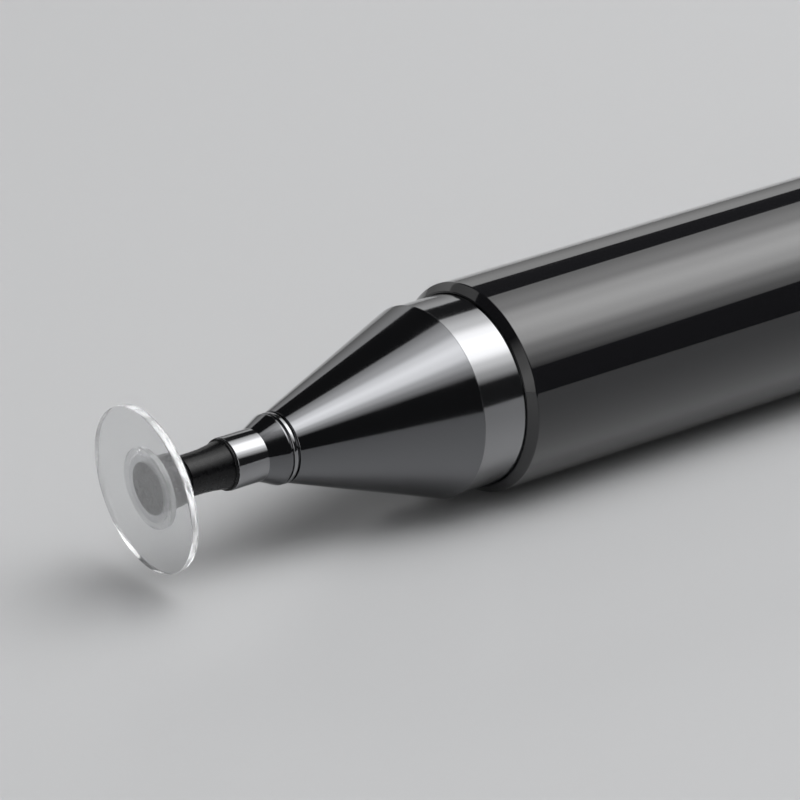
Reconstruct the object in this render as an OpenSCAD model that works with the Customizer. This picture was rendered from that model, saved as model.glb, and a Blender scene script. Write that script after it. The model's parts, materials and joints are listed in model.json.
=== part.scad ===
// Stylus pen with a clear touch disc on a ball joint, lying on a desk with its cap posted on the tail.
// Millimetres. +X runs from the tip to the tail, +Z is up, and the desk is at Z = 0.
// Each piece is drawn upright on its own axis, with the barrel's mouth at zero and the tail at +Z.
// The module lay() then puts it down on the desk.

/* [Barrel] */
// Outside diameter of the barrel, the cap and the end button
barrel_d = 9.0; // [8.6:0.1:12]
// Length of the barrel tube
barrel_l = 96; // [70:1:130]
// Wall of the barrel tube
barrel_wall = 0.40; // [0.3:0.01:0.5]
// Rounding of the outer edge of the tube's two mouths
mouth_round = 0.34; // [0.1:0.01:0.38]
// Diameter of the rod that ties the nose to the tail
rod_d = 3.0; // [2:0.1:4]

/* [Nose] */
// Length of the nose cone in front of its collar
nose_l = 7.49; // [5:0.1:12]
// Diameter of the nose cone at its front end
nose_tip_d = 3.0; // [2.9:0.05:4]
// How far the cone's wide end stands out past the collar, all round
nose_step = 0.05; // [0.02:0.01:0.08]
// Length of the collar that shows between the cone and the barrel
collar_l = 2.17; // [1:0.1:5]
// Depth of the nose's and the tail's spigots in the barrel
spigot_l = 7; // [4:0.5:12]
// Running gap between the collars and the barrel's bore
collar_gap = 0.02; // [0.01:0.01:0.05]

/* [Tip unit] */
// Diameter of the tip unit's threaded stem
thread_d = 2.0; // [1.6:0.1:2.2]
// Length of the threaded stem
thread_l = 3.2; // [2:0.1:4]
// Length of the seat ring between the tip unit and the nose
seat_l = 0.39; // [0.3:0.01:0.6]
// Diameter of the seat ring's bright band
seat_d = 3.0; // [2.9:0.05:3.2]
// Width of the bright band
seat_band_l = 0.19; // [0.1:0.01:0.22]
// Depth of the grooves on both sides of the band
seat_groove = 0.11; // [0.05:0.01:0.2]
// Length of the short cone behind the ferrule
cone_l = 0.90; // [0.6:0.05:1.5]
// Largest diameter of the short cone
cone_d = 2.98; // [2.8:0.02:3.2]
// Length of the land at the short cone's wide end
cone_land = 0.07; // [0.03:0.01:0.2]
// Diameter of the bright ferrule
ferrule_d = 2.22; // [2:0.02:2.6]
// Length of the bright ferrule
ferrule_l = 1.50; // [1.3:0.05:2.5]
// Wall of the ferrule
ferrule_wall = 0.28; // [0.2:0.01:0.3]
// Distance from the ferrule's front to the centre of the ball
neck_reach = 2.87; // [2.4:0.01:4]
// Diameter of the neck sleeve at its waist
neck_d = 1.75; // [1.6:0.01:2]
// Diameter of the neck sleeve at its flared end
neck_flare_d = 2.02; // [1.8:0.01:2.1]
// Diameter of the bead that ends the neck sleeve
neck_bead_d = 2.18; // [2.1:0.01:2.2]
// Length of that bead
neck_bead_l = 0.14; // [0.08:0.01:0.3]

/* [Touch disc] */
// Diameter of the clear disc
disc_d = 7.08; // [5:0.1:7.2]
// Thickness of the clear disc
disc_t = 0.36; // [0.25:0.01:0.6]
// Diameter of the raised hub ring on the disc's back
hub_d = 3.44; // [3.1:0.02:4]
// Height of the hub ring
hub_h = 0.22; // [0.18:0.01:0.3]
// Lean of the disc on its ball, as it lies (deg)
disc_lean = 6.4; // [0:0.1:15]
// Direction of that lean, turned about the pen from straight down (deg)
disc_lean_from = 216.5; // [0:0.5:359]

/* [Ball joint] */
// Diameter of the ball
ball_d = 1.20; // [1:0.02:1.24]
// Distance from the disc's back to the ball's centre
ball_back = 0.75; // [0.75:0.01:1]
// Outside diameter of the socket cup
socket_d = 2.22; // [2:0.02:2.4]
// Half angle of the socket's mouth, from the axis (deg)
socket_mouth = 50; // [48:1:55]
// Diameter of the ball stud's shank
shank_d = 0.56; // [0.4:0.02:0.6]
// Running gap of the ball, the shank and the socket
joint_gap = 0.02; // [0.01:0.01:0.04]

/* [Tail] */
// Length of the tail collar that holds the cap
tail_collar_l = 6; // [4:0.5:8]
// Length of the short cone behind the tail collar
tail_cone_l = 1.2; // [0.8:0.1:2]
// Thickness of the grip ring
grip_d = 0.9; // [0.6:0.05:1.1]
// Diameter of the soft fibre tip
fibre_d = 5.8; // [5:0.1:6.6]
// Length of the soft fibre tip past its crimp ring
fibre_l = 5.2; // [4:0.1:7]
// Thickness of the woven fibre skin
fibre_skin = 0.3; // [0.2:0.05:0.5]
// Length of the crimp ring that holds the fibre skin
crimp_l = 1.1; // [0.8:0.1:1.6]
// Thickness of the washer under the fibre tip
washer_t = 0.3; // [0.2:0.05:0.5]

/* [Cap] */
// Length of the cap tube
cap_l = 30; // [27:0.5:40]
// Wall of the cap tube
cap_wall = 0.33; // [0.28:0.01:0.34]
// Distance from the cap's mouth to the ring magnet
magnet_in = 7.6; // [7.6:0.1:9]
// Length of the ring magnet
magnet_l = 3; // [2:0.1:4]
// Length of the plug in the cap's closed end
plug_l = 5; // [4.5:0.1:6]
// Length of the end button
button_l = 2.6; // [2:0.1:4]
// Rounding of the end button
button_round = 0.9; // [0.3:0.1:1.4]
// Diameter of the end button's screw
button_screw_d = 2.5; // [2:0.1:3]
// Length of the end button's screw
button_screw_l = 4; // [3:0.1:4.2]

/* [Clip] */
// Thickness of the clip's spring steel
clip_t = 0.5; // [0.4:0.05:0.7]
// Width of the clip
clip_w = 2.6; // [2:0.1:3.5]
// Room between the clip's arm and the cap
clip_room = 1.1; // [0.9:0.1:1.4]
// Length of the clip's straight arm
clip_arm_l = 23.5; // [18:0.5:24]
// Length of the bend from the straight arm down to the nib
clip_bend_l = 2.4; // [2:0.1:3]
// Length of the turned-up lip past the nib
clip_lip_l = 1.6; // [1:0.1:2]
// Rise of the turned-up lip
clip_lip_rise = 0.5; // [0.3:0.1:0.7]
// Gap between the clip's nib and the cap
clip_gap = 0.12; // [0.1:0.01:0.2]

/* [Hidden] */
$fn = 120;

// Overrun of every cut
over = 0.5;
// Glue or press gap between pieces that never move on each other
glue_gap = 0.01;
// Small bevel on turned metal edges
bevel = 0.04;

// Radii of the main turned forms
barrel_r = barrel_d / 2;
bore_r = barrel_r - barrel_wall;
collar_r = bore_r - collar_gap;
nose_end_r = collar_r + nose_step;
thread_r = thread_d / 2;
ferrule_r = ferrule_d / 2;
ferrule_bore_r = ferrule_r - ferrule_wall;
disc_r = disc_d / 2;
ball_r = ball_d / 2;
socket_r = socket_d / 2;
shank_r = shank_d / 2;
rod_r = rod_d / 2;
cap_bore_r = barrel_r - cap_wall;

// Places along the axis from the barrel's mouth to the tip
collar_z = -collar_l;
nose_z = collar_z - nose_l;
seat_z = nose_z - seat_l;
cone_z = seat_z - cone_l;
ferrule_z = cone_z - ferrule_l;
ball_z = ferrule_z - neck_reach;
disc_back = -ball_back;

// Bore for the stem, and the hole for the tie rod behind it
stem_hole_l = thread_l + 3 * bevel;
rod_nose_z = collar_z;

// Parts inside the ferrule: the neck's spigot, the stud's head in its chamber and the holder's spigot
chamber_l = ferrule_l / 3;
ferrule_spigot_l = (ferrule_l - chamber_l) / 2;
chamber_z = ferrule_z + ferrule_spigot_l;
head_r = ferrule_bore_r - 4 * joint_gap;
head_gap = 2 * joint_gap;

// Flange of the socket cup, trapped between the disc and the hub ring
flange_r = (socket_r + hub_d / 2) / 2;
flange_t = hub_h / 3;

// Places along the axis from the barrel's tail to the end button
tail_z = barrel_l;
tail_cone_z = tail_z + tail_collar_l;
washer_z = tail_cone_z + tail_cone_l;
fibre_z = washer_z + washer_t;
crimp_z = fibre_z + washer_t;
dome_z = crimp_z + crimp_l;
fibre_r = fibre_d / 2;
crimp_r = fibre_r + fibre_skin / 3;
fibre_base_r = fibre_r - fibre_skin;
grip_r = cap_bore_r - joint_gap - grip_d / 2;
grip_z = tail_z + tail_collar_l / 2;
grip_slack = 3 * joint_gap;
stop_l = spigot_l / 2;
stop_r = 1.8 * rod_r;
cap_end_z = tail_z + cap_l;
clip_ring_z = cap_end_z;
button_z = clip_ring_z + clip_t;
end_z = button_z + button_l;
magnet_r = disc_r + 8 * joint_gap;

// The clip's strip in side view, as radius and place of its centre line
clip_mid_r = barrel_r + clip_room + clip_t / 2;
clip_nib_r = barrel_r + clip_gap + clip_t / 2;
clip_root_z = clip_ring_z;
clip_bend_z = clip_root_z - clip_arm_l;
clip_nib_z = clip_bend_z - clip_bend_l;
clip_lip_z = clip_nib_z - clip_lip_l;

// The pen lies on the barrel and on one edge of the clip, so the clip is turned from straight down by this
clip_top_r = clip_mid_r + clip_t / 2;
clip_corner = norm([clip_top_r, clip_w / 2]);
clip_corner_deg = atan2(clip_w / 2, clip_top_r);
clip_turn = clip_corner_deg + acos(barrel_r / clip_corner);

// Middle of the whole length and width, which is put over the origin
tip_x = ball_z - (ball_back + disc_t) * cos(disc_lean) - disc_r * sin(disc_lean);
mid_x = (tip_x + end_z) / 2;
clip_reach = clip_corner * sin(clip_turn + clip_corner_deg);
axis_y = (clip_reach - barrel_r) / 2;
echo(mid_x = mid_x, axis_y = axis_y, clip_turn = clip_turn, ball_z = ball_z, length = end_z - tip_x);

// Lays a piece down on the desk
module lay() {
    translate([-mid_x, axis_y, barrel_r]) rotate([0, 90, 0]) children();
}

// Carries the socket and the disc, leaning on the ball, with the ball's centre at zero
module on_ball() {
    lay() translate([0, 0, ball_z]) rotate([0, 0, disc_lean_from]) rotate([0, disc_lean, 0]) children();
}

// Turns the clip to the side that touches the desk
module at_clip() {
    lay() rotate([0, 0, -clip_turn]) children();
}

// A turned piece: its outline is a list of radius and place
module turned(outline) {
    rotate_extrude() polygon(outline);
}

// A plain ring or bush
module ring(r_in, r_out, z_from, z_to) {
    turned([[r_in, z_from], [r_out, z_from], [r_out, z_to], [r_in, z_to]]);
}

// A bar in side view with rounded outer corners at the ends that are asked for
module rounded_wall(r_in, r_out, z_from, z_to, r_from, r_to) {
    intersection() {
        translate([r_in, z_from]) square([r_out - r_in, z_to - z_from]);
        union() {
            translate([r_in, z_from]) square([r_out - r_from - r_in, r_from]);
            translate([r_out - r_from, z_from + r_from]) circle(r_from);
            translate([r_in, z_from + r_from]) square([r_out - r_in, z_to - z_from - r_from - r_to]);
            translate([r_out - r_to, z_to - r_to]) circle(r_to);
            translate([r_in, z_to - r_to]) square([r_out - r_to - r_in, r_to]);
        }
    }
}

// One straight length of the clip's strip, with a round end at its start
module strip(from, to) {
    run = to - from;
    translate(from) {
        circle(clip_t / 2);
        rotate(atan2(run[1], run[0])) translate([0, -clip_t / 2]) square([norm(run), clip_t]);
    }
}

// Clear plate that glides on the screen
module touch_disc() {
    color([0.80, 0.82, 0.84, 0.5]) on_ball() turned([
        [0, disc_back - disc_t],
        [disc_r - bevel, disc_back - disc_t],
        [disc_r, disc_back - disc_t + bevel],
        [disc_r, disc_back - bevel],
        [disc_r - bevel, disc_back],
        [0, disc_back]]);
}

// Clear ring on the disc's back that traps the socket's flange
module hub_ring() {
    pocket_top = disc_back + flange_t + 2 * joint_gap;
    color([0.70, 0.72, 0.75, 0.5]) on_ball() turned([
        [flange_r + joint_gap, disc_back],
        [hub_d / 2, disc_back],
        [hub_d / 2, disc_back + hub_h - bevel],
        [hub_d / 2 - bevel, disc_back + hub_h],
        [socket_r + joint_gap, disc_back + hub_h],
        [socket_r + joint_gap, pocket_top],
        [flange_r + joint_gap, pocket_top]]);
}

// Cup that snaps over the ball: a flange, a short cylinder and a round back
module socket_cup() {
    flange_z = disc_back + joint_gap;
    color([0.09, 0.09, 0.10]) on_ball() rotate_extrude() difference() {
        union() {
            translate([0, flange_z]) square([flange_r, flange_t]);
            translate([0, flange_z]) square([socket_r, -flange_z]);
            intersection() {
                circle(socket_r);
                square(socket_r);
            }
        }
        intersection() {
            circle(ball_r + joint_gap);
            translate([0, -ball_d]) square(2 * ball_d);
        }
        polygon([[0, 0], [socket_d * tan(socket_mouth), socket_d], [0, socket_d]]);
    }
}

// Ball, shank and head turned from one piece, free to spin in the neck sleeve
module ball_stud() {
    head_z = chamber_z + head_gap;
    head_l = chamber_l - 2 * head_gap;
    color([0.62, 0.63, 0.65]) lay() {
        translate([0, 0, ball_z]) sphere(ball_r);
        translate([0, 0, ball_z]) cylinder(r = shank_r, h = head_z + head_l - ball_z);
        translate([0, 0, head_z]) cylinder(r = head_r, h = head_l);
    }
}

// Black sleeve: a round seat behind the socket, a waist, a flare and a bead at the ferrule
module neck_sleeve() {
    front_z = ball_z;
    bead_z = ferrule_z - neck_bead_l;
    flare_from_z = ball_z + neck_reach / 2;
    flare_l = bead_z - flare_from_z;
    flare_steps = 8;
    flare_rise = (neck_flare_d - neck_d) / 2;
    bead_in = neck_bead_l / 4;
    flare = [for (i = [0 : flare_steps]) let (share = i / flare_steps)
        [neck_d / 2 + flare_rise * share * share, flare_from_z + flare_l * share]];
    color([0.06, 0.06, 0.065]) lay() rotate_extrude() difference() {
        polygon(concat(
            [[shank_r + joint_gap, front_z], [neck_d / 2, front_z]],
            flare,
            [[neck_bead_d / 2 - bead_in, bead_z],
             [neck_bead_d / 2, bead_z + bead_in],
             [neck_bead_d / 2, ferrule_z - bead_in],
             [neck_bead_d / 2 - bead_in, ferrule_z],
             [ferrule_bore_r - glue_gap, ferrule_z],
             [ferrule_bore_r - glue_gap, chamber_z],
             [shank_r + joint_gap, chamber_z]]));
        translate([0, ball_z]) circle(socket_r + joint_gap);
    }
}

// Bright sleeve over the joint of neck and holder
module tip_ferrule() {
    color([0.78, 0.79, 0.81]) lay() turned([
        [ferrule_bore_r, ferrule_z],
        [ferrule_r - bevel, ferrule_z],
        [ferrule_r, ferrule_z + bevel],
        [ferrule_r, cone_z],
        [ferrule_bore_r, cone_z]]);
}

// Short cone with a spigot in front and a threaded stem behind
module tip_holder() {
    spigot_r = ferrule_bore_r - glue_gap;
    stem_end = nose_z + thread_l;
    stem_r = thread_r - bevel;
    color([0.20, 0.20, 0.22]) lay() turned([
        [0, cone_z - ferrule_spigot_l],
        [spigot_r, cone_z - ferrule_spigot_l],
        [spigot_r, cone_z],
        [ferrule_r, cone_z],
        [cone_d / 2, seat_z - cone_land],
        [cone_d / 2, seat_z],
        [stem_r, seat_z],
        [stem_r, nose_z],
        [thread_r, nose_z + bevel],
        [thread_r, stem_end - bevel],
        [thread_r - bevel, stem_end],
        [0, stem_end]]);
}

// Grooved ring between the tip unit and the nose, which travels with the tip unit
module seat_ring() {
    groove_r = seat_d / 2 - seat_groove;
    side_l = (seat_l - seat_band_l) / 2;
    bore = thread_r + joint_gap;
    color([0.75, 0.76, 0.78]) lay() turned([
        [bore, seat_z],
        [groove_r, seat_z],
        [groove_r, seat_z + side_l],
        [seat_d / 2, seat_z + side_l],
        [seat_d / 2, nose_z - side_l],
        [groove_r, nose_z - side_l],
        [groove_r, nose_z],
        [bore, nose_z]]);
}

// Long cone, its step, the collar and the spigot in the barrel
module nose_cone() {
    rod_bore = rod_r + glue_gap;
    stem_floor = nose_z + stem_hole_l;
    color([0.17, 0.17, 0.19]) lay() difference() {
        turned([
            [0, nose_z],
            [nose_tip_d / 2 - bevel, nose_z],
            [nose_tip_d / 2, nose_z + bevel],
            [nose_end_r, collar_z - bevel],
            [nose_end_r, collar_z],
            [collar_r, collar_z],
            [collar_r, spigot_l],
            [0, spigot_l]]);
        translate([0, 0, nose_z - over]) cylinder(r = thread_r + joint_gap, h = stem_floor - nose_z + over);
        translate([0, 0, rod_nose_z]) cylinder(r = rod_bore, h = spigot_l - rod_nose_z + over);
    }
}

// Barrel tube with rounded mouths
module barrel_tube() {
    color([0.07, 0.07, 0.08]) lay() rotate_extrude()
        rounded_wall(bore_r, barrel_r, 0, tail_z, mouth_round, mouth_round);
}

// Ring glued in the barrel that the nose's spigot stands on
module front_stop() {
    color([0.72, 0.60, 0.34]) lay() ring(stop_r, bore_r - glue_gap, spigot_l, spigot_l + stop_l);
}

// Ring glued in the barrel that the tail's spigot stands on
module rear_stop() {
    color([0.72, 0.60, 0.34]) lay()
        ring(stop_r, bore_r - glue_gap, tail_z - spigot_l - stop_l, tail_z - spigot_l);
}

// Rod that pulls the nose and the tail against their stops and gives the pen its weight
module tie_rod() {
    color([0.60, 0.61, 0.63]) lay() translate([0, 0, rod_nose_z + bevel])
        cylinder(r = rod_r, h = tail_z - rod_nose_z - 2 * bevel);
}

// Tail collar: a spigot in the barrel, a seat for the cap with a groove, and a short cone
module tail_collar() {
    groove_w = grip_d + grip_slack;
    groove_r = grip_r - grip_d / 2 - joint_gap;
    stem_hole_z = washer_z - stem_hole_l;
    color([0.17, 0.17, 0.19]) lay() difference() {
        turned([
            [0, tail_z - spigot_l],
            [collar_r, tail_z - spigot_l],
            [collar_r, tail_cone_z - bevel],
            [collar_r - bevel, tail_cone_z],
            [fibre_base_r, washer_z],
            [0, washer_z]]);
        ring(groove_r, collar_r + over, grip_z - groove_w / 2, grip_z + groove_w / 2);
        translate([0, 0, tail_z - spigot_l - over]) cylinder(r = rod_r + glue_gap, h = spigot_l + over);
        translate([0, 0, stem_hole_z]) cylinder(r = thread_r + joint_gap, h = stem_hole_l + over);
    }
}

// Rubber ring that grips the cap and turns with it
module grip_ring() {
    color([0.05, 0.05, 0.05]) lay() translate([0, 0, grip_z])
        rotate_extrude() translate([grip_r, 0]) circle(grip_d / 2);
}

// Washer that travels with the fibre tip
module tail_washer() {
    color([0.75, 0.76, 0.78]) lay() ring(thread_r + joint_gap, fibre_base_r, washer_z, fibre_z);
}

// Threaded stem and base of the soft fibre tip
module fibre_holder() {
    stem_from = washer_z - thread_l;
    color([0.20, 0.20, 0.22]) lay() turned([
        [0, stem_from],
        [thread_r - bevel, stem_from],
        [thread_r, stem_from + bevel],
        [thread_r, washer_z - bevel],
        [thread_r - bevel, washer_z],
        [thread_r - bevel, fibre_z],
        [crimp_r, fibre_z],
        [crimp_r, crimp_z],
        [fibre_base_r / 2, crimp_z],
        [fibre_base_r / 2, dome_z],
        [0, dome_z]]);
}

// Ring crimped over the hem of the fibre skin
module crimp_ring() {
    color([0.75, 0.76, 0.78]) lay() turned([
        [fibre_r - fibre_skin / 3, crimp_z],
        [crimp_r, crimp_z],
        [crimp_r, dome_z - bevel],
        [crimp_r - bevel, dome_z],
        [fibre_r - fibre_skin / 3, dome_z]]);
}

// Soft rubber bulb under the fibre skin
module fibre_core() {
    round_z = dome_z + fibre_l - fibre_r;
    color([0.25, 0.25, 0.26]) lay() rotate_extrude() difference() {
        union() {
            translate([0, crimp_z]) square([fibre_base_r, round_z - crimp_z]);
            translate([0, round_z]) intersection() {
                circle(fibre_base_r);
                square(fibre_base_r);
            }
        }
        translate([-over, crimp_z - over]) square([fibre_base_r / 2 + over, dome_z - crimp_z + over]);
    }
}

// Woven conductive skin: a hem under the crimp ring and a round dome
module fibre_skin_dome() {
    round_z = dome_z + fibre_l - fibre_r;
    hem_r = fibre_r - fibre_skin / 3 - glue_gap;
    color([0.38, 0.38, 0.40]) lay() rotate_extrude() difference() {
        union() {
            translate([0, crimp_z]) square([hem_r, dome_z - crimp_z]);
            translate([0, dome_z]) square([fibre_r, round_z - dome_z]);
            translate([0, round_z]) intersection() {
                circle(fibre_r);
                square(fibre_r);
            }
        }
        translate([-over, crimp_z - over]) square([fibre_base_r + over, round_z - crimp_z + over]);
        translate([0, round_z]) circle(fibre_base_r);
    }
}

// Cap tube with a rounded mouth that matches the barrel's
module cap_tube() {
    color([0.07, 0.07, 0.08]) lay() rotate_extrude()
        rounded_wall(cap_bore_r, barrel_r, tail_z, cap_end_z, cap_wall - bevel, bevel);
}

// Ring magnet that holds the cap on the nose or on the tail, with room for the disc to pass
module cap_magnet() {
    from = tail_z + magnet_in;
    color([0.55, 0.56, 0.58]) lay() ring(magnet_r, cap_bore_r - glue_gap, from, from + magnet_l);
}

// Plug in the cap's closed end, threaded for the end button
module cap_plug() {
    color([0.60, 0.61, 0.63]) lay()
        ring(button_screw_d / 2 + glue_gap, cap_bore_r - glue_gap, cap_end_z - plug_l, cap_end_z);
}

// Root of the clip: a washer under the end button, with a tab out to the arm
module clip_ring() {
    color([0.70, 0.71, 0.73]) at_clip() translate([0, 0, clip_ring_z]) difference() {
        union() {
            cylinder(r = barrel_r - bevel, h = clip_t);
            translate([0, -clip_w / 2, 0]) cube([clip_top_r, clip_w, clip_t]);
        }
        translate([0, 0, -over]) cylinder(r = button_screw_d / 2 + glue_gap, h = clip_t + 2 * over);
    }
}

// Spring arm of the clip: straight, then down to the nib, then up to the lip
module clip_arm() {
    root = [clip_mid_r, clip_root_z - joint_gap];
    bend = [clip_mid_r, clip_bend_z];
    nib = [clip_nib_r, clip_nib_z];
    lip = [clip_nib_r + clip_lip_rise, clip_lip_z];
    color([0.70, 0.71, 0.73]) at_clip() rotate([90, 0, 0]) linear_extrude(clip_w, center = true) {
        translate([root[0] - clip_t / 2, bend[1]]) square([clip_t, root[1] - bend[1]]);
        strip(bend, nib);
        strip(nib, lip);
        translate(lip) circle(clip_t / 2);
    }
}

// End button and its screw
module end_button() {
    screw_r = button_screw_d / 2;
    color([0.17, 0.17, 0.19]) lay() {
        rotate_extrude() rounded_wall(0, barrel_r, button_z, end_z, bevel, button_round);
        translate([0, 0, button_z - button_screw_l]) cylinder(r = screw_r, h = button_screw_l + bevel);
    }
}

touch_disc();
hub_ring();
socket_cup();
ball_stud();
neck_sleeve();
tip_ferrule();
tip_holder();
seat_ring();
nose_cone();
barrel_tube();
front_stop();
tie_rod();
rear_stop();
tail_collar();
grip_ring();
tail_washer();
fibre_holder();
crimp_ring();
fibre_core();
fibre_skin_dome();
cap_tube();
cap_magnet();
cap_plug();
clip_ring();
clip_arm();
end_button();
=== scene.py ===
"""Looks of the stylus pen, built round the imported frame. Metres, in the frame's own axes."""
import json
import math

import bmesh
import bpy
from mathutils import Matrix, Vector


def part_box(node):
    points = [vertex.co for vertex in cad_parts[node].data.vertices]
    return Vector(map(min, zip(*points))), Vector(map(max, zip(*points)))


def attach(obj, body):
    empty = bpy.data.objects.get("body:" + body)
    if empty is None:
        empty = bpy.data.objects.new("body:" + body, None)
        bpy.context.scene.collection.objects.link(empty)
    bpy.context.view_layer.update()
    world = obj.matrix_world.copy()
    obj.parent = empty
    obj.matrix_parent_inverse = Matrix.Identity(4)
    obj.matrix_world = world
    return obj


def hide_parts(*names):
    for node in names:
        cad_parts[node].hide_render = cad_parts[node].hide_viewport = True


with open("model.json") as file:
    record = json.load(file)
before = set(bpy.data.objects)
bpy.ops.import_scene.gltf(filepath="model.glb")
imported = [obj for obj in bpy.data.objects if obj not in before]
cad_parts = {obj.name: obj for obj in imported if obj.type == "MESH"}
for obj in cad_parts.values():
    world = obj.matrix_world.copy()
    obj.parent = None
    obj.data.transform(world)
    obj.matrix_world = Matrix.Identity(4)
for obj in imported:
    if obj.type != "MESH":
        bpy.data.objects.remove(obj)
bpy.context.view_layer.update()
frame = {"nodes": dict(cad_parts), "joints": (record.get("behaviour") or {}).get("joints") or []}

MM = 0.001
X_AXIS = Vector((1, 0, 0))

# Segments round a turned piece, and the distance under which two points are one
SEGMENTS = 256
SAME_PLACE = 1e-9


def half_height(node):
    """Half the height of a node that is round about the pen's axis."""
    low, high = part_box(node)
    return (high.z - low.z) / 2


def middle(node):
    """Middle of a node's box."""
    low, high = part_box(node)
    return (low + high) / 2


def joint(name):
    """A joint of the frame."""
    return next(j for j in frame["joints"] if j["name"] == name)


# Places along the pen, read from the frame
ferrule_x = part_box("tip_ferrule")[0].x
cone_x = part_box("tip_ferrule")[1].x
seat_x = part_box("seat_ring")[0].x
nose_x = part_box("nose_cone")[0].x
mouth_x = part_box("barrel_tube")[0].x
tail_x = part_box("barrel_tube")[1].x
cap_end_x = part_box("cap_tube")[1].x
button_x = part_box("clip_ring")[1].x
end_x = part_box("end_button")[1].x

# The pen's axis and the outer radii, read from the frame
axis_y = middle("barrel_tube").y
axis_z = middle("barrel_tube").z
barrel_r = half_height("barrel_tube")
ferrule_r = half_height("tip_ferrule")
cone_r = half_height("tip_holder")
nose_end_r = half_height("nose_cone")

# Sizes inside the boxes, in step with the solids
running_gap = 0.02 * MM
collar_l = 2.17 * MM
barrel_wall = 0.40 * MM
cap_wall = 0.33 * MM
collar_r = barrel_r - barrel_wall - running_gap
ball_r = 0.60 * MM
ball_back = 0.75 * MM
ball_x = ferrule_x - 2.87 * MM
disc_t = 0.36 * MM
disc_r = 3.54 * MM
hub_r = 1.72 * MM
hub_h = 0.22 * MM
socket_r = 1.11 * MM
flange_r = (socket_r + hub_r) / 2
flange_t = hub_h / 3
shank_r = 0.28 * MM
chamber_l = (cone_x - ferrule_x) / 3
spigot_r = ferrule_r - 0.29 * MM
rod_r = 1.51 * MM
screw_bore_r = 1.02 * MM
screw_bore_l = 3.32 * MM
stem_r = 0.96 * MM
thread_r = 1.0 * MM
thread_l = 3.2 * MM
thread_pitch = 0.4 * MM
thread_depth = 0.2 * MM
crimp_in_r = 2.8 * MM
clip_w = 2.6 * MM
clip_t = 0.5 * MM
clip_edge = 0.09 * MM
clip_gap = 1.1 * MM
clip_arm_r = barrel_r + clip_gap + clip_t / 2

# Hairline between pieces that seat on each other and part when they move
seam = 0.004 * MM

disc_axis = Vector(joint("disc_spin")["axis"])
clip_root = Vector(joint("clip_flex")["pos_m"])
clip_out = (clip_root - Vector((clip_root.x, axis_y, axis_z))).normalized()

PEN = Matrix.Translation((0, axis_y, axis_z))
BALL_CENTRE = Vector((ball_x, axis_y, axis_z))
BALL = Matrix.Translation(BALL_CENTRE) @ X_AXIS.rotation_difference(disc_axis).to_matrix().to_4x4()


# Outlines

def rounded(points, steps=5):
    """Replaces each corner (x, r, fillet) of an outline with a small arc. No fillet keeps the corner."""
    out = []
    last = len(points) - 1
    for i, (x, r, fillet) in enumerate(points):
        corner = Vector((x, r))
        if fillet <= 0 or i in (0, last):
            out.append((x, r))
            continue
        before = (Vector(points[i - 1][:2]) - corner).normalized()
        after = (Vector(points[i + 1][:2]) - corner).normalized()
        half = before.angle(after) / 2
        reach = fillet / math.tan(half)
        centre = corner + (before + after).normalized() * fillet / math.sin(half)
        start = corner + before * reach - centre
        end = corner + after * reach - centre
        turn = start.angle_signed(end)
        for k in range(steps + 1):
            spoke = start.copy()
            spoke.rotate(Matrix.Rotation(-turn * k / steps, 2))
            out.append(tuple(centre + spoke))
    return out


def arc(centre_x, centre_r, radius, from_deg, to_deg, steps):
    """Points of a circle in the outline's plane. Zero degrees is along +x, and 90 away from the axis."""
    out = []
    for k in range(steps + 1):
        a = math.radians(from_deg + (to_deg - from_deg) * k / steps)
        out.append((centre_x + radius * math.cos(a), centre_r + radius * math.sin(a)))
    return out


def tube_outline(x_from, x_to, wall, bevel_from, bevel_to):
    """Outline of a tube whose mouths are bevelled outside, with soft corners, and eased inside."""
    inner_r = barrel_r - wall
    inner_ease = 0.02 * MM
    soft_share = 0.3
    soft_from, soft_to = soft_share * bevel_from, soft_share * bevel_to
    return rounded([
        (x_from + wall, inner_r, 0), (x_from, inner_r, inner_ease),
        (x_from, barrel_r - bevel_from, soft_from), (x_from + bevel_from, barrel_r, soft_from),
        (x_to - bevel_to, barrel_r, soft_to), (x_to, barrel_r - bevel_to, soft_to),
        (x_to, inner_r, inner_ease), (x_from + 2 * wall, inner_r, 0)], steps=8)


def strip_outline(centre_line, thickness):
    """Both sides of a strip that follows a centre line of (x, z) points, with a round free end."""
    half = thickness / 2
    points = [Vector(p) for p in centre_line]
    upper, lower = [], []
    for i, p in enumerate(points):
        ahead = points[min(i + 1, len(points) - 1)] - points[max(i - 1, 0)]
        side = Vector((-ahead.y, ahead.x)).normalized() * half
        upper.append(p + side)
        lower.append(p - side)
    tip = points[-1]
    heading = (points[-1] - points[-2]).normalized()
    steps = 8
    turns = [math.pi * k / steps for k in range(1, steps)]
    nose = [tip + heading * half * math.sin(a) + (upper[-1] - tip) * math.cos(a) for a in turns]
    return upper + nose + lower[::-1]


# Meshes

def finish_mesh(name, bm, place, sharp_deg=35):
    """Turns a bmesh into an object with smooth faces, sharp corners and area-weighted normals."""
    bmesh.ops.remove_doubles(bm, verts=bm.verts, dist=SAME_PLACE)
    bmesh.ops.recalc_face_normals(bm, faces=bm.faces)
    limit = math.radians(sharp_deg)
    for face in bm.faces:
        face.smooth = True
    for edge in bm.edges:
        edge.smooth = len(edge.link_faces) == 2 and edge.calc_face_angle(0) < limit
    mesh = bpy.data.meshes.new(name)
    bm.to_mesh(mesh)
    bm.free()
    mesh.transform(place)
    obj = bpy.data.objects.new(name, mesh)
    bpy.context.scene.collection.objects.link(obj)
    normals = obj.modifiers.new("normals", "WEIGHTED_NORMAL")
    normals.keep_sharp = True
    return obj


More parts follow.
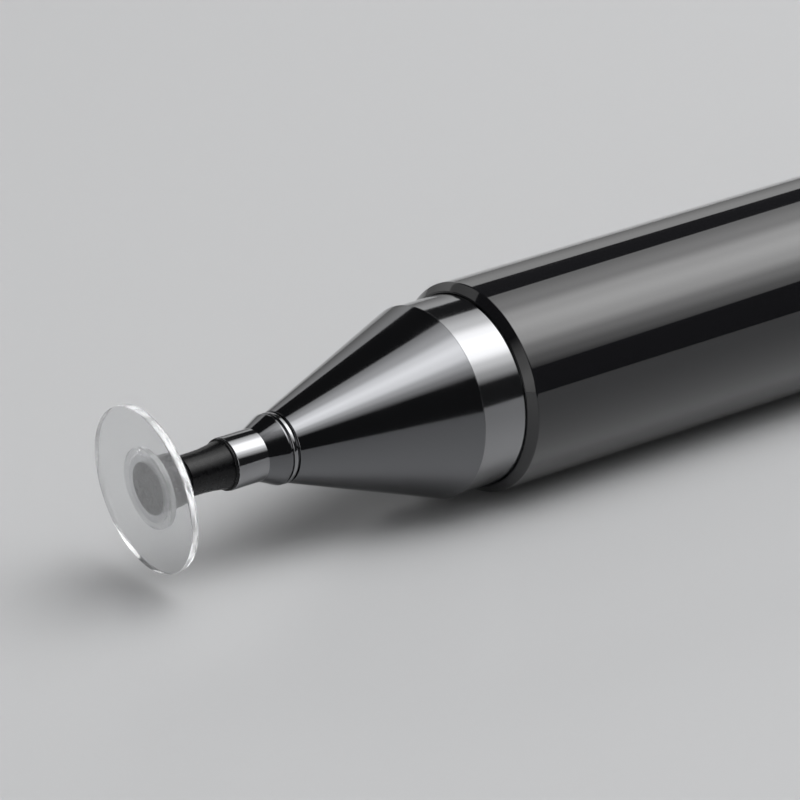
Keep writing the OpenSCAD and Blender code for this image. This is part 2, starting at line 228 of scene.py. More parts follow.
def circle(bm, x, r, segments):
    """Vertices of a circle round the x axis, or its one vertex where it lies on the axis."""
    if r < SAME_PLACE:
        return [bm.verts.new((x, 0, 0))]
    turns = [math.tau * k / segments for k in range(segments)]
    return [bm.verts.new((x, r * math.cos(a), r * math.sin(a))) for a in turns]


def lathe_bmesh(outline, closed=True, segments=SEGMENTS):
    """Turns an outline of (x, r) points about the x axis. A point on the axis becomes a pole."""
    bm = bmesh.new()
    rings = [circle(bm, x, r, segments) for x, r in outline]
    pairs = list(zip(rings, rings[1:]))
    if closed:
        pairs.append((rings[-1], rings[0]))
    for a, b in pairs:
        if len(a) == 1 and len(b) == 1:
            continue
        for k in range(segments):
            n = (k + 1) % segments
            corners = [a[k % len(a)], a[n % len(a)], b[n % len(b)], b[k % len(b)]]
            unique = list(dict.fromkeys(corners))
            if len(unique) > 2:
                bm.faces.new(unique)
    return bm


def lathe(name, outline, place=PEN, closed=True):
    """A turned piece as an object."""
    return finish_mesh(name, lathe_bmesh(outline, closed), place)


def threaded(x_from, x_to, segments=96):
    """A helical thread as a closed skin from x_from to x_to. Its ridges fade out at both ends."""
    bm = bmesh.new()
    per_pitch = 12
    count = int(abs(x_to - x_from) / thread_pitch * per_pitch)
    rings = []
    for i in range(count + 1):
        x = x_from + (x_to - x_from) * i / count
        fade = min(1, i / per_pitch, (count - i) / per_pitch)
        ring = []
        for k in range(segments):
            turn = k / segments
            share = (x / thread_pitch + turn) % 1
            ridge = 1 - abs(2 * share - 1)
            r = thread_r - thread_depth * fade * (1 - ridge)
            ring.append(bm.verts.new((x, r * math.cos(math.tau * turn), r * math.sin(math.tau * turn))))
        rings.append(ring)
    for a, b in zip(rings, rings[1:]):
        for k in range(segments):
            n = (k + 1) % segments
            bm.faces.new((a[k], a[n], b[n], b[k]))
    for ring in (rings[0], rings[-1]):
        bm.faces.new(ring)
    return bm


def soften(bm, edges):
    """Rounds edges of the clip's strip metal."""
    bmesh.ops.bevel(bm, geom=edges, offset=clip_edge, segments=4, profile=0.5, affect="EDGES")


def add(obj, body, slot, material, *nodes):
    """Gives a piece its material and body; its slot is not used. One that stands for nodes is named after
    the first.
    """
    if nodes:
        obj.name = nodes[0] + "_finished"
        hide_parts(*nodes)
    obj.data.materials.clear()
    obj.data.materials.append(material)
    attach(obj, body)


# Materials

def node_material(name):
    """An empty node material with its tree and its Principled shader."""
    mat = bpy.data.materials.new(name)
    mat.use_nodes = True
    return mat, mat.node_tree, mat.node_tree.nodes["Principled BSDF"]


def object_coords(tree, scale=(1, 1, 1)):
    """Object coordinates in metres, stretched by a scale."""
    coords = tree.nodes.new("ShaderNodeTexCoord")
    mapping = tree.nodes.new("ShaderNodeMapping")
    mapping.inputs["Scale"].default_value = scale
    tree.links.new(coords.outputs["Object"], mapping.inputs["Vector"])
    return mapping.outputs["Vector"]


def noise(tree, vector, scale, detail=3.0, rough=0.5):
    """A noise texture's value."""
    node = tree.nodes.new("ShaderNodeTexNoise")
    node.inputs["Scale"].default_value = scale
    node.inputs["Detail"].default_value = detail
    node.inputs["Roughness"].default_value = rough
    tree.links.new(vector, node.inputs["Vector"])
    return node.outputs["Fac"]


def spread(tree, value, low, high):
    """Maps a noise value, which keeps mostly between 0.3 and 0.7, to a range."""
    node = tree.nodes.new("ShaderNodeMapRange")
    node.inputs["From Min"].default_value = 0.3
    node.inputs["From Max"].default_value = 0.7
    node.inputs["To Min"].default_value = low
    node.inputs["To Max"].default_value = high
    tree.links.new(value, node.inputs["Value"])
    return node.outputs["Result"]


def bump(tree, shader, height, distance, strength=1.0):
    """Bumps the shader's normal by a height, whose full step is a distance in metres."""
    node = tree.nodes.new("ShaderNodeBump")
    node.inputs["Strength"].default_value = strength
    node.inputs["Distance"].default_value = distance
    tree.links.new(height, node.inputs["Height"])
    tree.links.new(node.outputs["Normal"], shader.inputs["Normal"])


def maths(tree, kind, *values):
    """A maths node's result. Each value is a number or another node's output."""
    node = tree.nodes.new("ShaderNodeMath")
    node.operation = kind
    for socket, value in zip(node.inputs, values):
        if isinstance(value, (int, float)):
            socket.default_value = value
        else:
            tree.links.new(value, socket)
    return node.outputs["Value"]


def turned_metal(name, colour, rough, lines=3e-8):
    """Polished turned metal: handling marks spread its roughness, and fine lines run round the axis."""
    mat, tree, shader = node_material(name)
    shader.inputs["Metallic"].default_value = 1
    shader.inputs["Base Color"].default_value = (*colour, 1)
    marks = noise(tree, object_coords(tree), scale=420, detail=4, rough=0.6)
    tree.links.new(spread(tree, marks, *rough), shader.inputs["Roughness"])
    turning = noise(tree, object_coords(tree, (1, 0.002, 0.002)), scale=26000, detail=2)
    bump(tree, shader, turning, lines)
    return mat


def black_lacquer():
    """Deep gloss black over the tube: a clear coat with the faintest orange peel and handling marks."""
    mat, tree, shader = node_material("black_lacquer")
    shader.inputs["Base Color"].default_value = (0.006, 0.006, 0.007, 1)
    shader.inputs["IOR"].default_value = 1.5
    shader.inputs["Specular IOR Level"].default_value = 0.12
    shader.inputs["Coat Weight"].default_value = 1
    shader.inputs["Coat Roughness"].default_value = 0.025
    shader.inputs["Coat IOR"].default_value = 1.55
    marks = noise(tree, object_coords(tree, (0.4, 1, 1)), scale=240, detail=5, rough=0.62)
    tree.links.new(spread(tree, marks, 0.05, 0.13), shader.inputs["Roughness"])
    peel = noise(tree, object_coords(tree), scale=900, detail=2)
    bump(tree, shader, peel, 4e-8)
    return mat


def satin_black(name, colour, rough, grain_scale, grain, gloss=0.5):
    """Moulded plastic or rubber with a fine grain, and patches a little darker and lighter."""
    mat, tree, shader = node_material(name)
    shader.inputs["IOR"].default_value = 1.5
    shader.inputs["Specular IOR Level"].default_value = gloss
    vector = object_coords(tree)
    shade = tree.nodes.new("ShaderNodeValToRGB")
    for element, place, share in zip(shade.color_ramp.elements, (0.35, 0.65), (0.75, 1.3)):
        element.position = place
        element.color = (*[c * share for c in colour], 1)
    patches = noise(tree, vector, grain_scale / 4, detail=4)
    tree.links.new(patches, shade.inputs["Fac"])
    tree.links.new(shade.outputs["Color"], shader.inputs["Base Color"])
    sheen = noise(tree, vector, grain_scale / 2)
    tree.links.new(spread(tree, sheen, rough - 0.05, rough + 0.06), shader.inputs["Roughness"])
    bump(tree, shader, noise(tree, vector, grain_scale), grain)
    return mat


def clear_plastic(name, ior, haze, coat):
    """Clear plastic with faint wipe marks. Haze is the share of light that doesn't go straight through."""
    mat, tree, shader = node_material(name)
    shader.inputs["Base Color"].default_value = (0.93, 0.935, 0.94, 1)
    shader.inputs["IOR"].default_value = ior
    shader.inputs["Transmission Weight"].default_value = 1 - haze
    shader.inputs["Coat Weight"].default_value = coat
    shader.inputs["Coat Roughness"].default_value = 0.02
    marks = noise(tree, object_coords(tree), scale=900, detail=5, rough=0.6)
    tree.links.new(spread(tree, marks, 0.0, 0.015), shader.inputs["Roughness"])
    return mat


def woven_skin():
    """Fine metallised fibre: two sets of threads wound across each other round the axis."""
    threads_round = 60
    weave_pitch = 0.3 * MM
    weave_depth = 0.03 * MM
    mat, tree, shader = node_material("fibre")
    shader.inputs["Metallic"].default_value = 0.35
    shader.inputs["Sheen Weight"].default_value = 0.4
    coords = tree.nodes.new("ShaderNodeTexCoord")
    centred = tree.nodes.new("ShaderNodeVectorMath")
    centred.operation = "SUBTRACT"
    centred.inputs[1].default_value = (0, axis_y, axis_z)
    split = tree.nodes.new("ShaderNodeSeparateXYZ")
    tree.links.new(coords.outputs["Object"], centred.inputs[0])
    tree.links.new(centred.outputs["Vector"], split.inputs["Vector"])

    angle = maths(tree, "ARCTAN2", split.outputs["Y"], split.outputs["Z"])
    turn = maths(tree, "MULTIPLY", angle, threads_round)
    along = maths(tree, "MULTIPLY", split.outputs["X"], math.tau / weave_pitch)
    one = maths(tree, "SINE", maths(tree, "ADD", turn, along))
    two = maths(tree, "SINE", maths(tree, "SUBTRACT", turn, along))
    height = maths(tree, "MULTIPLY_ADD", maths(tree, "MAXIMUM", one, two), 0.5, 0.5)

    ramp = tree.nodes.new("ShaderNodeValToRGB")
    ramp.color_ramp.elements[0].color = (0.05, 0.05, 0.055, 1)
    ramp.color_ramp.elements[1].color = (0.34, 0.34, 0.36, 1)
    tree.links.new(height, ramp.inputs["Fac"])
    tree.links.new(ramp.outputs["Color"], shader.inputs["Base Color"])
    fuzz = noise(tree, coords.outputs["Object"], scale=3000, detail=2)
    tree.links.new(spread(tree, fuzz, 0.4, 0.6), shader.inputs["Roughness"])
    bump(tree, shader, height, weave_depth, strength=0.8)
    return mat


# The record's slots, and two variants: clear_rim of clear_plastic, and a brighter copy of black_chrome that
# paints the collar's highlight
MATERIALS = {
    "clear_plastic": clear_plastic("clear_plastic", ior=1.12, haze=0.16, coat=0.8),
    "clear_rim": clear_plastic("clear_rim", ior=1.38, haze=0.16, coat=0.2),
    "black_nylon": satin_black("black_nylon", (0.0035, 0.0035, 0.004), rough=0.28,
                               grain_scale=9000, grain=1e-7, gloss=0.22),
    "black_rubber": satin_black("black_rubber", (0.014, 0.014, 0.014), rough=0.62,
                                grain_scale=6000, grain=1.5e-6),
    "grey_rubber": satin_black("grey_rubber", (0.10, 0.10, 0.105), rough=0.6,
                               grain_scale=5000, grain=1.5e-6),
    "polished_steel": turned_metal("polished_steel", (0.27, 0.272, 0.279), rough=(0.08, 0.14)),
    "steel": turned_metal("steel", (0.50, 0.505, 0.52), rough=(0.20, 0.34), lines=2e-7),
    "black_chrome": turned_metal("black_chrome", (0.150, 0.152, 0.158), rough=(0.07, 0.13)),
    # A brighter copy of black_chrome, laid over the collar so that it paints a brighter highlight there
    "collar_highlight_chrome": turned_metal("collar_highlight_chrome", (0.245, 0.247, 0.253), rough=(0.07, 0.13)),
    "brass": turned_metal("brass", (0.66, 0.50, 0.23), rough=(0.22, 0.36), lines=2e-7),
    "magnet": turned_metal("magnet", (0.46, 0.465, 0.48), rough=(0.16, 0.28)),
    "black_lacquer": black_lacquer(),
    "fibre": woven_skin(),
}


# Camera

def make_camera():
    """Camera worked out from the photograph's circles and outlines: its focal length, turn and place."""
    frame_px = 800
    focal_px = 5486
    data = bpy.data.cameras.new("camera")
    data.sensor_width = 36
    data.lens = focal_px / frame_px * data.sensor_width
    data.clip_start = 0.01
    data.clip_end = 50
    camera = bpy.data.objects.new("camera", data)
    bpy.context.scene.collection.objects.link(camera)
    right = Vector((0.77997, -0.62581, 0)).normalized()
    up = Vector((0.24366, 0.30368, 0.92109)).normalized()
    turn = Matrix((right, up, right.cross(up))).transposed().to_4x4()
    from_mouth = Vector((-133.30, -161.96, 88.17)) * MM
    place = Vector((mouth_x, axis_y, axis_z)) + from_mouth
    camera.matrix_world = Matrix.Translation(place) @ turn
    bpy.context.scene.camera = camera


# Tip unit and disc

def make_disc():
    """Clear plate with slightly eased edges. Its cut rim has a finish of its own."""
    ease = 0.035 * MM
    back = -ball_back
    front = back - disc_t
    plate = lathe("touch_disc", rounded([
        (front, 0, 0), (front, disc_r, ease), (back, disc_r, ease), (back, 0, 0)]), BALL, closed=False)
    add(plate, "disc", "clear_plastic", MATERIALS["clear_plastic"], "touch_disc")
    plate.data.materials.append(MATERIALS["clear_rim"])
    rim_slot = 1
    for face in plate.data.polygons:
        if (face.center - BALL_CENTRE).cross(disc_axis).length > disc_r - ease / 2:
            face.material_index = rim_slot


def make_hub():
    """Clear ring on the disc's back with the pocket for the socket's flange."""
    ease = 0.03 * MM
    back = -ball_back
    top = back + hub_h
    pocket = back + flange_t + 2 * running_gap
    mouth_r = socket_r + running_gap
    pocket_r = flange_r + running_gap
    hub = lathe("hub_ring", rounded([
        (back, pocket_r, 0), (back, hub_r, 0), (top, hub_r, ease),
        (top, mouth_r, ease), (pocket, mouth_r, 0), (pocket, pocket_r, 0)]), BALL)
    add(hub, "disc", "clear_plastic", MATERIALS["clear_plastic"], "hub_ring")


def make_socket():
    """Black cup with a clear flange, a short wall and a round back that closes over the ball."""
    ease = 0.01 * MM
    mouth_deg = 50
    front = -ball_back + running_gap
    back = front + flange_t
    flange = lathe("socket_flange", rounded([
        (front, socket_r, 0), (front, flange_r, ease), (back, flange_r, ease), (back, socket_r, 0)]), BALL)
    add(flange, "socket", "black_nylon", MATERIALS["clear_plastic"])
    outline = [(front, 0), (front, socket_r)]
    outline += arc(0, 0, socket_r, 90, mouth_deg, steps=14)
    outline += arc(0, 0, ball_r + running_gap, mouth_deg, 180, steps=28)
    cup = lathe("socket_cup", outline, BALL, closed=False)
    add(cup, "socket", "black_nylon", MATERIALS["black_nylon"], "socket_cup")


def make_stud():
    """Ball, shank and head. Places are counted from the ball's centre."""
    ease = 0.05 * MM
    play = 0.04 * MM
    shank_from = 0.7 * MM
    head_from = ferrule_x + chamber_l + play - ball_x
    head_to = head_from + chamber_l - 2 * play
    head_r = ferrule_r - 0.36 * MM
    leave_deg = math.degrees(math.asin(shank_r / ball_r))
    outline = arc(0, 0, ball_r, 180, leave_deg, steps=36)
    outline += rounded([
        (shank_from, shank_r, 0), (head_from, shank_r, 0), (head_from, head_r, ease),
        (head_to, head_r, ease), (head_to, 0, 0)])
    stud = lathe("ball_stud", outline, Matrix.Translation(BALL_CENTRE), closed=False)
    add(stud, "ball_stud", "steel", MATERIALS["steel"], "ball_stud")


def make_neck():
    """Black sleeve: a round seat for the socket, a waist, a flare and a bead."""
    waist_r = 0.875 * MM
    flare_r = 1.01 * MM
    flare_x = ball_x + 1.435 * MM
    bead_r = 1.09 * MM
    bead_l = 0.14 * MM
    bead_x = ferrule_x - bead_l
    seat_r = socket_r + running_gap
    bore_r = shank_r + running_gap
    spigot_x = ferrule_x + chamber_l
    inner_deg = math.degrees(math.asin(bore_r / seat_r))
    outer_deg = math.degrees(math.asin(waist_r / seat_r))
    outline = arc(ball_x, 0, seat_r, inner_deg, outer_deg, steps=10)
    flare_steps = 16
    for k in range(flare_steps + 1):
        share = k / flare_steps
        x = flare_x + (bead_x - flare_x) * share
        outline.append((x, waist_r + (flare_r - waist_r) * share ** 2))
    bead_half = bead_l / 2
    outline += arc(bead_x + bead_half, bead_r - bead_half, bead_half, 150, 20, steps=10)
    outline += [(ferrule_x, bead_r - bead_l / 3), (ferrule_x, spigot_r), (spigot_x, spigot_r),
                (spigot_x, bore_r)]
    neck = lathe("neck_sleeve", outline)
    add(neck, "tip_unit", "black_nylon", MATERIALS["black_nylon"], "neck_sleeve")


def make_ferrule():
    """Bright sleeve with an eased front edge."""
    ease = 0.035 * MM
    bore_r = ferrule_r - 0.28 * MM
    ferrule = lathe("tip_ferrule", rounded([
        (ferrule_x, bore_r, 0), (ferrule_x, ferrule_r, ease), (cone_x, ferrule_r, 0),
        (cone_x, bore_r, 0)]))
    add(ferrule, "tip_unit", "polished_steel", MATERIALS["polished_steel"], "tip_ferrule")


def make_holder():
    """Short cone with its spigot, and a threaded stem."""
    ease = 0.03 * MM
    land = 0.07 * MM
    spigot_x = cone_x - chamber_l
    cone = lathe_bmesh(rounded([
        (spigot_x, 0, 0), (spigot_x, spigot_r, 0), (cone_x, spigot_r, 0), (cone_x, ferrule_r, 0),
        (seat_x - land, cone_r, ease), (seat_x, cone_r, ease / 2), (seat_x, stem_r, 0),
        (nose_x, stem_r, 0), (nose_x, 0, 0)]), closed=False)
    holder = finish_mesh("tip_holder", cone, PEN)
    thread = finish_mesh("tip_thread", threaded(nose_x, nose_x + thread_l), PEN)
    add(holder, "tip_unit", "black_chrome", MATERIALS["black_chrome"], "tip_holder")
    add(thread, "tip_unit", "black_chrome", MATERIALS["black_chrome"])


def make_seat_ring():
    """Grooved ring with a bright rounded band."""
    ease = 0.05 * MM
    seat_r = half_height("seat_ring")
    groove_r = seat_r - 0.11 * MM
    band_l = 0.19 * MM
    side = (nose_x - seat_x - band_l) / 2
    front, back = seat_x + seam, nose_x - seam
    ring = lathe("seat_ring", rounded([
        (front, screw_bore_r, 0), (front, groove_r, 0), (seat_x + side, groove_r, 0),
        (seat_x + side, seat_r, ease), (nose_x - side, seat_r, ease), (nose_x - side, groove_r, 0),
        (back, groove_r, 0), (back, screw_bore_r, 0)]))
    add(ring, "seat_ring", "polished_steel", MATERIALS["polished_steel"], "seat_ring")


# Nose and barrel

def make_nose():
    """Long cone with a crisp step down to the collar."""
    tip_r = 1.5 * MM
    front_ease = 0.04 * MM
    step_ease = 0.035 * MM
    step_x = mouth_x - collar_l
    floor_x = nose_x + screw_bore_l
    spigot_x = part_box("nose_cone")[1].x
    outline = rounded([
        (floor_x, 0, 0), (floor_x, screw_bore_r, 0), (nose_x, screw_bore_r, 0), (nose_x, tip_r, front_ease),
        (step_x, nose_end_r, step_ease), (step_x, collar_r, 0), (spigot_x, collar_r, 0),
        (spigot_x, rod_r, 0), (step_x, rod_r, 0), (step_x, 0, 0)])
    nose = lathe("nose_cone", outline, closed=False)
    add(nose, "barrel", "black_chrome", MATERIALS["black_chrome"], "nose_cone")


def make_collar_highlight_film():
    """Painted highlight: a film of brighter black chrome over the collar, which is one piece and one finish
    with the cone, so that the collar shines brighter than the cone. It runs into the barrel's mouth.
    """
    film = 0.004 * MM
    rooted = 0.05 * MM
    tucked = 0.5 * MM
    band_from = mouth_x - collar_l + 0.02 * MM
    band_to = mouth_x + tucked
    inner_r = collar_r - rooted
    outer_r = collar_r + film
    band = lathe("collar_highlight_film", rounded([
        (band_from, inner_r, 0), (band_from, outer_r, 0), (band_to, outer_r, 0), (band_to, inner_r, 0)]))
    add(band, "barrel", "black_chrome", MATERIALS["collar_highlight_chrome"])


def make_barrel():
    """Gloss black tube with bevelled mouths."""
    bevel = 0.33 * MM
    tube = lathe("barrel_tube", tube_outline(mouth_x, tail_x, barrel_wall, bevel, bevel))
    add(tube, "barrel", "black_lacquer", MATERIALS["black_lacquer"], "barrel_tube")


# Tail, fibre tip and cap

def make_tail():
    """Tail collar with the groove for the grip ring, and the screw bore in its end."""
    ease = 0.06 * MM
    low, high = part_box("tail_collar")
    cone_from = tail_x + 6 * MM
    cone_end_r = 2.6 * MM
    floor_x = high.x - screw_bore_l
    grip_x = middle("grip_ring").x
    grip_r = half_height("grip_ring")
    groove_half = 0.48 * MM
    groove_r = grip_r - 0.92 * MM
    groove_from, groove_to = grip_x - groove_half, grip_x + groove_half
    collar = lathe("tail_collar", rounded([
        (low.x, rod_r, 0), (low.x, collar_r, 0), (groove_from, collar_r, ease),
        (groove_from, groove_r, 0), (groove_to, groove_r, 0), (groove_to, collar_r, ease),
        (cone_from, collar_r, ease), (high.x, cone_end_r, ease), (high.x, screw_bore_r, 0),
        (floor_x, screw_bore_r, 0), (floor_x, 0, 0), (tail_x, 0, 0), (tail_x, rod_r, 0)]))
    add(collar, "barrel", "black_chrome", MATERIALS["black_chrome"], "tail_collar")

    ring_r = 0.45 * MM
    points = 24
    last_deg = 360 - 360 / points
    grip = lathe("grip_ring", arc(grip_x, grip_r - ring_r, ring_r, 0, last_deg, steps=points - 1))
    add(grip, "grip_ring", "black_rubber", MATERIALS["black_rubber"], "grip_ring")


def make_washer():
    """Bright washer between the tail collar and the fibre tip."""
    ease = 0.05 * MM
    low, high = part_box("tail_washer")
    washer_r = half_height("tail_washer")
    front, back = low.x + seam, high.x - seam
    washer = lathe("tail_washer", rounded([
        (front, screw_bore_r, 0), (front, washer_r, ease), (back, washer_r, ease),
        (back, screw_bore_r, 0)]))
    add(washer, "tail_washer", "polished_steel", MATERIALS["polished_steel"], "tail_washer")


def make_fibre_holder():
    """Base of the fibre tip with its plug and its threaded stem."""
    ease = 0.05 * MM
    plug_r = 1.3 * MM
    stem_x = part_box("tail_washer")[0].x
    base_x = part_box("tail_washer")[1].x
    crimp_low, crimp_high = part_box("crimp_ring")
    crimp_r = half_height("crimp_ring")
    base = lathe("fibre_holder", rounded([
        (stem_x, 0, 0), (stem_x, stem_r, 0), (base_x, stem_r, 0), (base_x, crimp_r, ease),
        (crimp_low.x, crimp_r, 0), (crimp_low.x, plug_r, 0), (crimp_high.x, plug_r, 0),
        (crimp_high.x, 0, 0)]), closed=False)
    add(base, "fibre_tip", "black_chrome", MATERIALS["black_chrome"], "fibre_holder")
    stem = finish_mesh("fibre_thread", threaded(stem_x, stem_x - thread_l), PEN)
    add(stem, "fibre_tip", "black_chrome", MATERIALS["black_chrome"])


def make_crimp_ring():
    """Bright ring rolled over the hem of the woven skin."""
    roll = 0.2 * MM
    ease = 0.05 * MM
    low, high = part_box("crimp_ring")
    crimp_r = half_height("crimp_ring")
    crimp = lathe("crimp_ring", rounded([
        (low.x, crimp_in_r, 0), (low.x, crimp_r, 0), (high.x, crimp_r, roll),
        (high.x, crimp_in_r, ease)], steps=6))
    add(crimp, "fibre_tip", "polished_steel", MATERIALS["polished_steel"], "crimp_ring")


def make_dome():
    """Woven dome: a hem under the crimp ring, a rounded shoulder, a short wall and a half ball."""
    skin = 0.3 * MM
    shoulder = 0.3 * MM
    hem_l = 0.05 * MM
    hem_r = crimp_in_r - 0.01 * MM
    crimp_low, crimp_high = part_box("crimp_ring")
    dome_r = half_height("fibre_skin_dome")
    round_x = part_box("fibre_skin_dome")[1].x - dome_r
    hem_x = crimp_high.x + hem_l
    outline = [(crimp_low.x, dome_r - skin), (crimp_low.x, hem_r), (hem_x, hem_r)]
    outline += arc(hem_x + shoulder, dome_r - shoulder, shoulder, 170, 90, steps=6)
    outline += arc(round_x, 0, dome_r, 90, 0, steps=28)
    outline += arc(round_x, 0, dome_r - skin, 0, 90, steps=28)
    dome = lathe("fibre_skin_dome", outline)
    add(dome, "fibre_tip", "fibre", MATERIALS["fibre"], "fibre_skin_dome")


def make_cap():
    """Cap tube with a bevelled mouth, and the crowned end button with its screw."""
    mouth_bevel = 0.27 * MM
    edge = 0.04 * MM
    tube = lathe("cap_tube", tube_outline(tail_x, cap_end_x, cap_wall, mouth_bevel, edge))
    add(tube, "cap", "black_lacquer", MATERIALS["black_lacquer"], "cap_tube")
    screw_r = 1.25 * MM
    screw_ease = 0.1 * MM
    crown = 0.9 * MM
    screw_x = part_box("end_button")[0].x
    button = lathe("end_button", rounded([
        (screw_x, 0, 0), (screw_x, screw_r, screw_ease), (button_x, screw_r, 0),
        (button_x, barrel_r, edge), (end_x, barrel_r, crown), (end_x, 0, 0)], steps=12), closed=False)
    add(button, "cap", "black_chrome", MATERIALS["black_chrome"], "end_button")


def clip_place():
    """Frame of the clip: x along the pen, y across the clip and z outwards from the axis."""
    across = clip_out.cross(X_AXIS)
    turn = Matrix((X_AXIS, across, clip_out)).transposed().to_4x4()
    return PEN @ turn


def make_clip_arm():
    """Spring strip: a flat arm, a rounded bend to the nib and a turned-up lip, with softened edges."""
    nib_gap = 0.12 * MM
    lip_rise = 0.5 * MM
    arm_l = 23.5 * MM
    nib_l = 2.4 * MM
    lip_l = 1.6 * MM
    nib_r = barrel_r + nib_gap + clip_t / 2
    lip_r = nib_r + lip_rise
    root_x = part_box("clip_arm")[1].x
    bend_x = cap_end_x - arm_l
    nib_x = bend_x - nib_l
    lip_x = nib_x - lip_l
    bend = 1.6 * MM
    nib_round = 0.9 * MM
    line = rounded([(root_x, clip_arm_r, 0), (bend_x, clip_arm_r, bend), (nib_x, nib_r, nib_round),
                    (lip_x, lip_r, 0)], steps=10)
    bm = bmesh.new()
    outline = strip_outline(line, clip_t)
    sides = [[bm.verts.new((p.x, y, p.y)) for p in outline] for y in (-clip_w / 2, clip_w / 2)]
    count = len(outline)
    for k in range(count):
        n = (k + 1) % count
        bm.faces.new((sides[0][k], sides[0][n], sides[1][n], sides[1][k]))
    for side in sides:
        bm.faces.new(side)
    soften(bm, [e for e in bm.edges if abs(e.verts[0].co.y - e.verts[1].co.y) < SAME_PLACE])
    arm = finish_mesh("clip_arm", bm, clip_place(), sharp_deg=50)
    add(arm, "clip", "polished_steel", MATERIALS["polished_steel"], "clip_arm")


def make_clip_root():
    """The clip's washer under the end button, and the tab that joins it to the arm."""
    hole_r = 1.26 * MM
    ease = 0.04 * MM
    washer_r = barrel_r - 0.04 * MM
    washer = lathe_bmesh(rounded([
        (cap_end_x, hole_r, 0), (cap_end_x, washer_r, ease), (button_x, washer_r, ease),
        (button_x, hole_r, 0)]))
    ring = finish_mesh("clip_ring", washer, PEN)
    add(ring, "cap", "polished_steel", MATERIALS["polished_steel"], "clip_ring")

    tab_from = barrel_r - 0.3 * MM
    tab_to = clip_arm_r + clip_t / 2
    tab = bmesh.new()
    bmesh.ops.create_cube(tab, size=1)
    for v in tab.verts:
        v.co.x = cap_end_x + (v.co.x + 0.5) * (button_x - cap_end_x)
        v.co.y *= clip_w
        v.co.z = tab_from + (v.co.z + 0.5) * (tab_to - tab_from)
    soften(tab, list(tab.edges))
    tab_obj = finish_mesh("clip_tab", tab, clip_place(), sharp_deg=50)
    add(tab_obj, "cap", "polished_steel", MATERIALS["polished_steel"])


def finish_inner_pieces():
    """Inner pieces keep their solids and get their finish."""
    finishes = {"front_stop": "brass", "rear_stop": "brass", "tie_rod": "steel",
                "cap_magnet": "magnet", "cap_plug": "steel", "fibre_core": "grey_rubber"}
    for node, finish in finishes.items():
        obj = frame["nodes"][node]
        obj.data.materials.clear()
        obj.data.materials.append(MATERIALS[finish])


# Stage and light

def make_floor():
    """Pale, slightly glossy desk top, a hair below the pen."""
    half_size = 3
    bm = bmesh.new()
    bmesh.ops.create_grid(bm, x_segments=1, y_segments=1, size=half_size)
    mesh = bpy.data.meshes.new("floor")
    bm.to_mesh(mesh)
    bm.free()
    floor = bpy.data.objects.new("floor", mesh)
    floor.location.z = -0.02 * MM
    bpy.context.scene.collection.objects.link(floor)
    mat, _, shader = node_material("floor")
    shader.inputs["Base Color"].default_value = (0.54, 0.544, 0.552, 1)
    shader.inputs["Roughness"].default_value = 0.34
    mesh.materials.append(mat)


def brightness_ramp(tree, shares):
    """A ramp with stops from pairs of place and share."""
    ramp = tree.nodes.new("ShaderNodeValToRGB")
    elements = ramp.color_ramp.elements
    while len(elements) < len(shares):
        elements.new(0.5)
    for element, (place, share) in zip(elements, shares):
        element.position = place
        element.color = (share, share, share, 1)
    ramp.color_ramp.interpolation = "EASE"
    return ramp


def panel_material(name, radiance, across_shares, along_shares):
    """Light from a panel's back, which two ramps dim across and along it. Its front gives none."""
    mat = bpy.data.materials.new(name)
    mat.use_nodes = True
    tree = mat.node_tree
    tree.nodes.clear()
    coords = tree.nodes.new("ShaderNodeTexCoord")
    split = tree.nodes.new("ShaderNodeSeparateXYZ")
    across = brightness_ramp(tree, across_shares)
    along = brightness_ramp(tree, along_shares)
    tree.links.new(coords.outputs["UV"], split.inputs["Vector"])
    tree.links.new(split.outputs["X"], along.inputs["Fac"])
    tree.links.new(split.outputs["Y"], across.inputs["Fac"])
    share = maths(tree, "MULTIPLY", along.outputs["Color"], across.outputs["Color"])
    glow = tree.nodes.new("ShaderNodeEmission")
    tree.links.new(maths(tree, "MULTIPLY", share, radiance), glow.inputs["Strength"])
    dark = tree.nodes.new("ShaderNodeEmission")
    dark.inputs["Strength"].default_value = 0
    facing = tree.nodes.new("ShaderNodeNewGeometry")
    mix = tree.nodes.new("ShaderNodeMixShader")
    out = tree.nodes.new("ShaderNodeOutputMaterial")
    tree.links.new(facing.outputs["Backfacing"], mix.inputs["Fac"])
    tree.links.new(dark.outputs["Emission"], mix.inputs[1])
    tree.links.new(glow.outputs["Emission"], mix.inputs[2])
    tree.links.new(mix.outputs["Shader"], out.inputs["Surface"])
    return mat


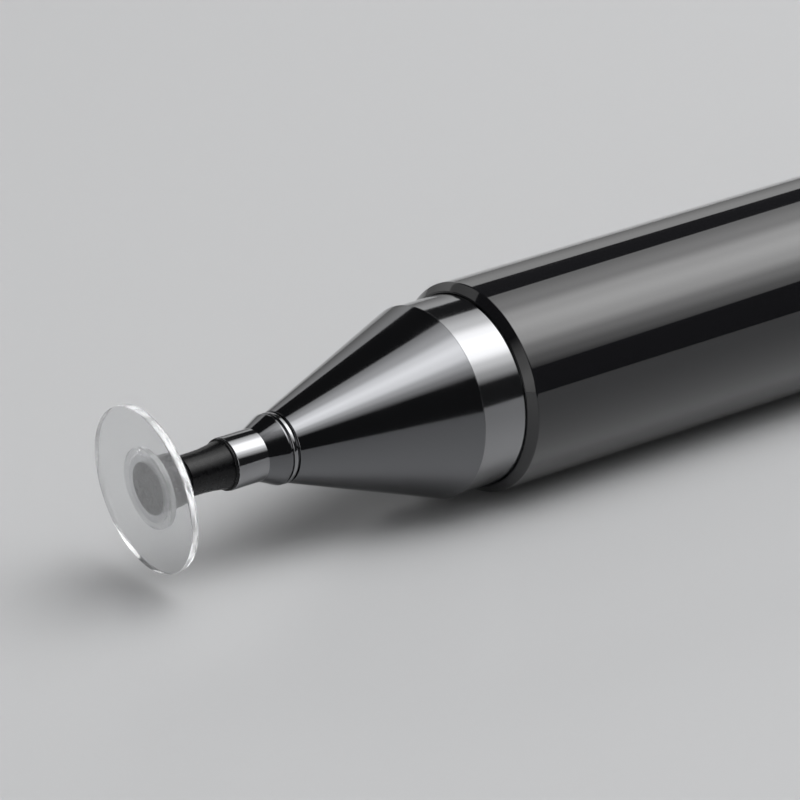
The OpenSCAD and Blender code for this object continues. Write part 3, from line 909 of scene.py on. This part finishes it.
def make_panel(name, centre, aim, size, radiance, across, along=((0, 1), (1, 1)), taper=0):
    """Soft light panel. Pairs of (place, share) set its light across and along, and taper widens it."""
    bm = bmesh.new()
    bm.loops.layers.uv.new("places")
    bmesh.ops.create_grid(bm, x_segments=24, y_segments=1, size=0.5, calc_uvs=True)
    for v in bm.verts:
        v.co.y *= 1 + taper * v.co.x
    mesh = bpy.data.meshes.new(name)
    bm.to_mesh(mesh)
    bm.free()
    panel = bpy.data.objects.new(name, mesh)
    bpy.context.scene.collection.objects.link(panel)
    away = (Vector(centre) - Vector(aim)).normalized()
    turn = Matrix((X_AXIS, away.cross(X_AXIS).normalized(), away)).transposed().to_4x4()
    panel.matrix_world = Matrix.Translation(centre) @ turn @ Matrix.Diagonal((*size, 1, 1))
    mesh.materials.append(panel_material(name, radiance, across, along))
    panel.visible_camera = False
    panel.visible_shadow = False


def make_lights():
    """One large panel overhead that fades to both sides, three weak ones and a dim surround."""
    make_panel("key_panel", centre=(0.27, -0.27, 0.50), aim=(0.27, -0.27, 0), size=(0.95, 1.11),
               radiance=4.6,
               across=((0.0, 0.0), (0.02, 0.06), (0.20, 0.22), (0.36, 0.44), (0.50, 0.86),
                       (0.62, 1.0), (0.72, 0.82), (0.83, 0.42), (0.99, 0.23), (1.0, 0.0)),
               along=((0.0, 0.05), (0.05, 0.2), (0.085, 1.0), (1.0, 1.0)), taper=0.708)
    make_panel("tip_panel", centre=(-0.52, 0.75, 0.56), aim=(-0.07, 0, 0), size=(0.5, 0.5),
               radiance=0.6, across=((0.0, 1.0), (1.0, 0.6)))
    make_panel("rim_panel", centre=(1.2, 2.0, 0.57), aim=(1.2, 0, 0.57), size=(5.0, 1.14),
               radiance=0.9, across=((0.0, 1.0), (1.0, 0.3)))
    make_panel("mouth_panel", centre=(-0.62, -0.30, 0.27), aim=(-0.056, 0, 0.21), size=(0.6, 0.62),
               radiance=1.3, across=((0.0, 0.8), (0.2, 1.0), (0.45, 0.7), (1.0, 0.0)))
    world = bpy.data.worlds.new("world")
    world.use_nodes = True
    background = world.node_tree.nodes["Background"]
    background.inputs["Color"].default_value = (0.03, 0.0305, 0.032, 1)
    background.inputs["Strength"].default_value = 1.0
    bpy.context.scene.world = world


make_camera()
for make in (make_disc, make_hub, make_socket, make_stud, make_neck, make_ferrule, make_holder,
             make_seat_ring, make_nose, make_collar_highlight_film, make_barrel, make_tail, make_washer,
             make_fibre_holder, make_crimp_ring, make_dome, make_cap, make_clip_arm, make_clip_root,
             finish_inner_pieces, make_floor, make_lights):
    make()
bpy.context.scene.view_settings.view_transform = "Standard"
